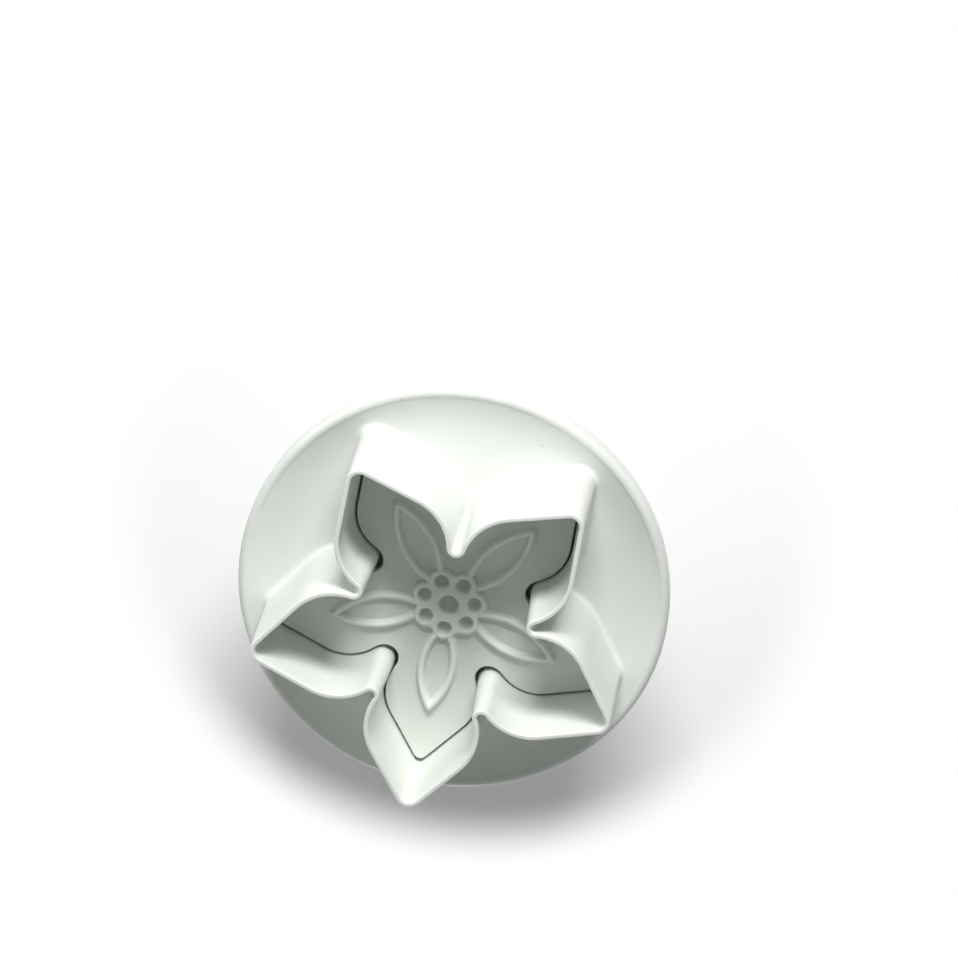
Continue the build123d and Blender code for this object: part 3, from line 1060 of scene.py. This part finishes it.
knob_plastic = moulded_plastic("knob_plastic", KNOB_PATTERN_SHIFT, rough=KNOB_ROUGH)
knob = turned_piece(
    "knob_disc",
    [
        *thumb_dish(),
        (Vector((THUMB_DISH_RADIUS, knob_top)), THUMB_DISH_ROUND),
        (Vector((knob_radius, knob_top)), KNOB_TOP_ROUND),
        (Vector((knob_radius, knob_under)), KNOB_UNDER_ROUND),
        (Vector((HUB_RADIUS, knob_under)), HUB_ROUND),
        (Vector((HUB_RADIUS, knob_high.z)), HUB_ROUND),
        (Vector((SOCKET_RADIUS, knob_high.z)), HEAD_ROUND),
        (Vector((SOCKET_RADIUS, knob_top + KNOB_SKIN)), HEAD_ROUND),
        (Vector((0, knob_top + KNOB_SKIN)), 0),
    ],
    knob_plastic,
)
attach(knob, "plunger")
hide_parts("push_knob")

# Return spring. Drawn steel wire wound round the stem, with a closed turn at each end. It
# sits on the knob's hub and pushes against the floor of the barrel.
SPRING_TURNS = 8
CLOSED_TURNS = 1
SPRING_RADIUS = 3.6 * MM
WIRE = 0.8 * MM
CLOSED_PITCH = 0.84 * MM
POINTS_PER_TURN = 40
WIRE_SIDES = 14
STEEL = (0.60, 0.61, 0.62, 1.0)
STEEL_DARK = (0.42, 0.43, 0.44, 1.0)
STEEL_ROUGH = (0.2, 0.45)
STEEL_BUMP = 0.3
DRAW_LINES = 9.0
DRAW_LENGTH = 35.0
DRAW_DETAIL = 4.0

spring_low, spring_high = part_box("return_spring")


def drawn_steel():
    """Bright spring steel with the fine lines that the drawing die leaves along the wire."""
    material = bpy.data.materials.new("drawn_steel")
    material.use_nodes = True
    tree = material.node_tree
    tree.nodes.clear()
    along = add_node(tree, "ShaderNodeAttribute", attribute_name="along_wire").outputs["Fac"]
    around = add_node(tree, "ShaderNodeAttribute", attribute_name="around_wire").outputs["Fac"]
    turn = calculate(tree, "MULTIPLY", around, 2 * pi)
    lines = add_node(
        tree,
        "ShaderNodeCombineXYZ",
        {
            "X": calculate(tree, "MULTIPLY", calculate(tree, "COSINE", turn), DRAW_LINES),
            "Y": calculate(tree, "MULTIPLY", calculate(tree, "SINE", turn), DRAW_LINES),
            "Z": calculate(tree, "MULTIPLY", along, DRAW_LENGTH),
        },
    )
    streaks = add_node(
        tree,
        "ShaderNodeTexNoise",
        {"Vector": lines.outputs[0], "Scale": 1.0, "Detail": DRAW_DETAIL},
    ).outputs["Fac"]
    bump = add_node(
        tree,
        "ShaderNodeBump",
        {"Height": streaks, "Strength": STEEL_BUMP, "Distance": BUMP_DISTANCE},
    )
    shader = add_node(
        tree,
        "ShaderNodeBsdfPrincipled",
        {
            "Base Color": mix_colour(tree, streaks, STEEL_DARK, STEEL),
            "Roughness": mix_value(tree, streaks, *STEEL_ROUGH),
            "Normal": bump.outputs[0],
        },
    )
    shader.inputs["Metallic"].default_value = 1.0
    add_node(tree, "ShaderNodeOutputMaterial", {"Surface": shader.outputs[0]})
    return material


def wound_spring_tree():
    """Winds a wire into a coil spring whose end turns lie closed."""
    sizes = ["turns", "closed turns", "radius", "wire", "closed pitch", "low", "high"]
    inputs = {label: "Float" for label in sizes}
    counts = {"points": "Int", "sides": "Int"}
    tree, given = new_tree("wound_spring", {**inputs, **counts, "finish": "Material"})
    line = add_node(tree, "GeometryNodeCurvePrimitiveLine")
    even = add_node(
        tree, "GeometryNodeResampleCurve", {"Curve": line.outputs[0], "Count": given["points"]}
    )
    along = add_node(tree, "GeometryNodeSplineParameter").outputs["Factor"]
    turns = calculate(tree, "MULTIPLY", along, given["turns"])
    angle = calculate(tree, "MULTIPLY", turns, 2 * pi)
    last_open = calculate(tree, "SUBTRACT", given["turns"], given["closed turns"])
    open_turns = calculate(tree, "SUBTRACT", last_open, given["closed turns"])
    past_first = calculate(tree, "SUBTRACT", turns, given["closed turns"])
    opened = add_node(tree, "ShaderNodeClamp", {"Value": past_first, "Max": open_turns})
    length = calculate(tree, "SUBTRACT", given["high"], given["low"])
    span = calculate(tree, "SUBTRACT", length, given["wire"])
    closed_rise = calculate(tree, "MULTIPLY", given["closed pitch"], given["turns"])
    extra = calculate(tree, "DIVIDE", calculate(tree, "SUBTRACT", span, closed_rise), open_turns)
    stretch = calculate(tree, "MULTIPLY", opened.outputs[0], extra)
    rise = calculate(tree, "MULTIPLY_ADD", turns, given["closed pitch"], stretch)
    half_wire = calculate(tree, "DIVIDE", given["wire"], 2.0)
    start = calculate(tree, "ADD", half_wire, given["low"])
    place = add_node(
        tree,
        "ShaderNodeCombineXYZ",
        {
            "X": calculate(tree, "MULTIPLY", calculate(tree, "COSINE", angle), given["radius"]),
            "Y": calculate(tree, "MULTIPLY", calculate(tree, "SINE", angle), given["radius"]),
            "Z": calculate(tree, "ADD", start, rise),
        },
    )
    coil = add_node(
        tree,
        "GeometryNodeSetPosition",
        {"Geometry": even.outputs[0], "Position": place.outputs[0]},
    )
    marked = add_node(
        tree,
        "GeometryNodeStoreNamedAttribute",
        {"Geometry": coil.outputs[0], "Name": "along_wire", "Value": along},
        domain="POINT",
    )
    section = add_node(
        tree,
        "GeometryNodeCurvePrimitiveCircle",
        {"Resolution": given["sides"], "Radius": half_wire},
    )
    around = add_node(
        tree,
        "GeometryNodeStoreNamedAttribute",
        {
            "Geometry": section.outputs[0],
            "Name": "around_wire",
            "Value": add_node(tree, "GeometryNodeSplineParameter").outputs["Factor"],
        },
        domain="POINT",
    )
    wire = add_node(
        tree,
        "GeometryNodeCurveToMesh",
        {"Curve": marked.outputs[0], "Profile Curve": around.outputs[0], "Fill Caps": True},
    )
    end_tree(tree, wire.outputs[0], given["finish"])
    return tree


spring = grown(
    "wound_spring",
    bpy.data.meshes.new("spring_start"),
    wound_spring_tree(),
    {
        "turns": float(SPRING_TURNS),
        "closed turns": float(CLOSED_TURNS),
        "radius": SPRING_RADIUS,
        "wire": WIRE,
        "closed pitch": CLOSED_PITCH,
        "low": spring_low.z,
        "high": spring_high.z,
        "points": SPRING_TURNS * POINTS_PER_TURN,
        "sides": WIRE_SIDES,
        "finish": drawn_steel(),
    },
)
outward(spring.data)
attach(spring, "housing")
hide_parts("return_spring")
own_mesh(spring)
